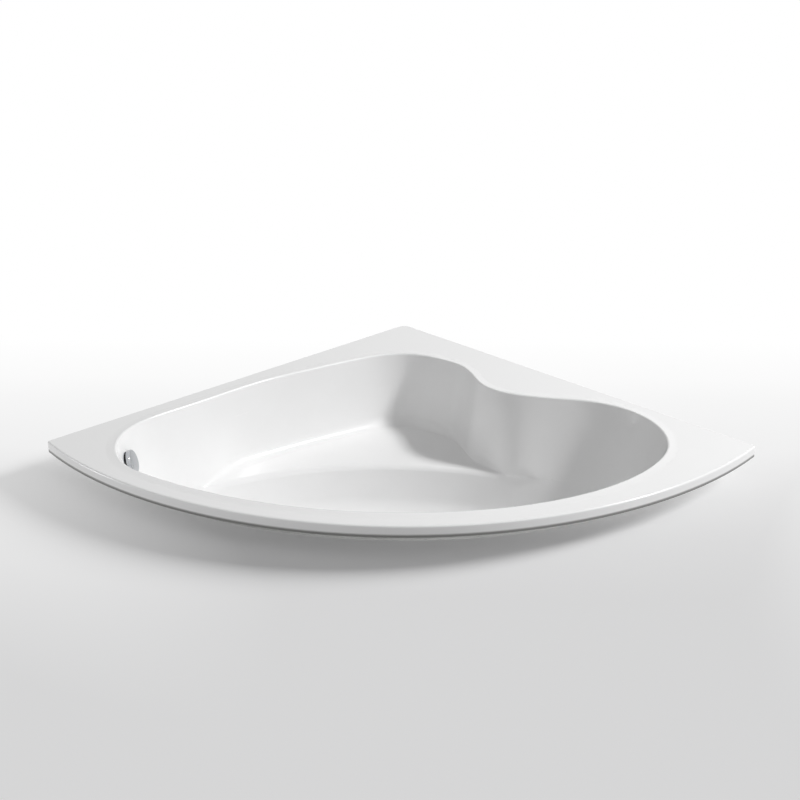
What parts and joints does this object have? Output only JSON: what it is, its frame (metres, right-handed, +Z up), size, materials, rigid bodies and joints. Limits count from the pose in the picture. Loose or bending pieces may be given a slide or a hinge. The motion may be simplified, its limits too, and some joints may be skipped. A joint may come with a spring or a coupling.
{
  "type": "corner bathtub",
  "caption": "White acrylic drop-in corner bath with a bowed front, an oval well, a seat in the back corner, levelling legs, and an overflow knob that lifts the plug.",
  "frame": {"origin": "on the floor under the feet, at the middle of the rim's box in plan", "axes": "+Z up, -Y to the bowed front, +Y to the back corner, +X to the right as seen from the front"},
  "size_m": [1.9744, 1.4504, 0.602],
  "materials": {
    "acrylic": "polished white acrylic",
    "glass_fibre": "sprayed glass-fibre resin",
    "board": "raw board",
    "zinc_steel": "zinc plated",
    "black_plastic": "moulded",
    "chrome": "polished",
    "brass": "turned",
    "rubber": "matte",
    "white_plastic": "moulded",
    "grey_plastic": "extruded"
  },
  "bodies": {
    "bath": {"bath_shell": "acrylic", "glass_backing": "glass_fibre", "base_board": "board", "seat_board": "board", "rim_batten_left": "board", "rim_batten_right": "board", "leg_bar_left": "zinc_steel", "leg_bar_right": "zinc_steel", "seat_post": "zinc_steel", "wood_screws": "zinc_steel", "leg_nuts": "zinc_steel", "overflow_insert": "chrome", "overflow_gasket": "rubber", "overflow_elbow": "white_plastic", "overflow_pipe": "grey_plastic", "upper_pipe_nut": "white_plastic", "lower_pipe_nut": "white_plastic", "wire_conduit": "black_plastic", "waste_flange": "chrome", "flange_seal": "rubber", "waste_gasket": "rubber", "waste_body": "white_plastic", "trap_bend": "white_plastic", "trap_nut": "white_plastic"},
    "knob": {"overflow_knob": "chrome", "knob_spindle": "brass"},
    "plug": {"lift_plug": "chrome", "plug_seal": "rubber"},
    "lever": {"plug_lever": "brass"},
    "leg_1": {"leg_stud_1": "zinc_steel", "foot_pad_1": "black_plastic"},
    "leg_2": {"leg_stud_2": "zinc_steel", "foot_pad_2": "black_plastic"},
    "leg_3": {"leg_stud_3": "zinc_steel", "foot_pad_3": "black_plastic"},
    "leg_4": {"leg_stud_4": "zinc_steel", "foot_pad_4": "black_plastic"},
    "leg_5": {"leg_stud_5": "zinc_steel", "foot_pad_5": "black_plastic"}
  },
  "joints": [
    {"name": "knob_turn", "type": "hinge", "parent": "bath", "child": "knob", "pos_m": [-0.76916, -0.2466, 0.53], "axis": [0.9613, 0, 0.2756], "range_deg": [0, 120]},
    {"name": "plug_lift", "type": "slide", "parent": "bath", "child": "plug", "axis": [0, 0, 1], "range_m": [0, 0.009]},
    {"name": "lever_turn", "type": "hinge", "parent": "bath", "child": "lever", "pos_m": [-0.46809, -0.2466, 0.13036], "axis": [0, -1, 0], "range_deg": [0, 25]},
    {"name": "leg_1_slide", "type": "slide", "parent": "bath", "child": "leg_1", "axis": [0, 0, 1], "range_m": [-0.025, 0.02]},
    {"name": "leg_2_slide", "type": "slide", "parent": "bath", "child": "leg_2", "axis": [0, 0, 1], "range_m": [-0.025, 0.02]},
    {"name": "leg_3_slide", "type": "slide", "parent": "bath", "child": "leg_3", "axis": [0, 0, 1], "range_m": [-0.025, 0.02]},
    {"name": "leg_4_slide", "type": "slide", "parent": "bath", "child": "leg_4", "axis": [0, 0, 1], "range_m": [-0.025, 0.02]},
    {"name": "leg_5_slide", "type": "slide", "parent": "bath", "child": "leg_5", "axis": [0, 0, 1], "range_m": [-0.025, 0.02]}
  ],
  "couplings": [
    {"joint": "plug_lift", "follows": "knob_turn", "m_per_rad": 0.00429},
    {"joint": "lever_turn", "follows": "knob_turn", "ratio": 0.208}
  ]
}
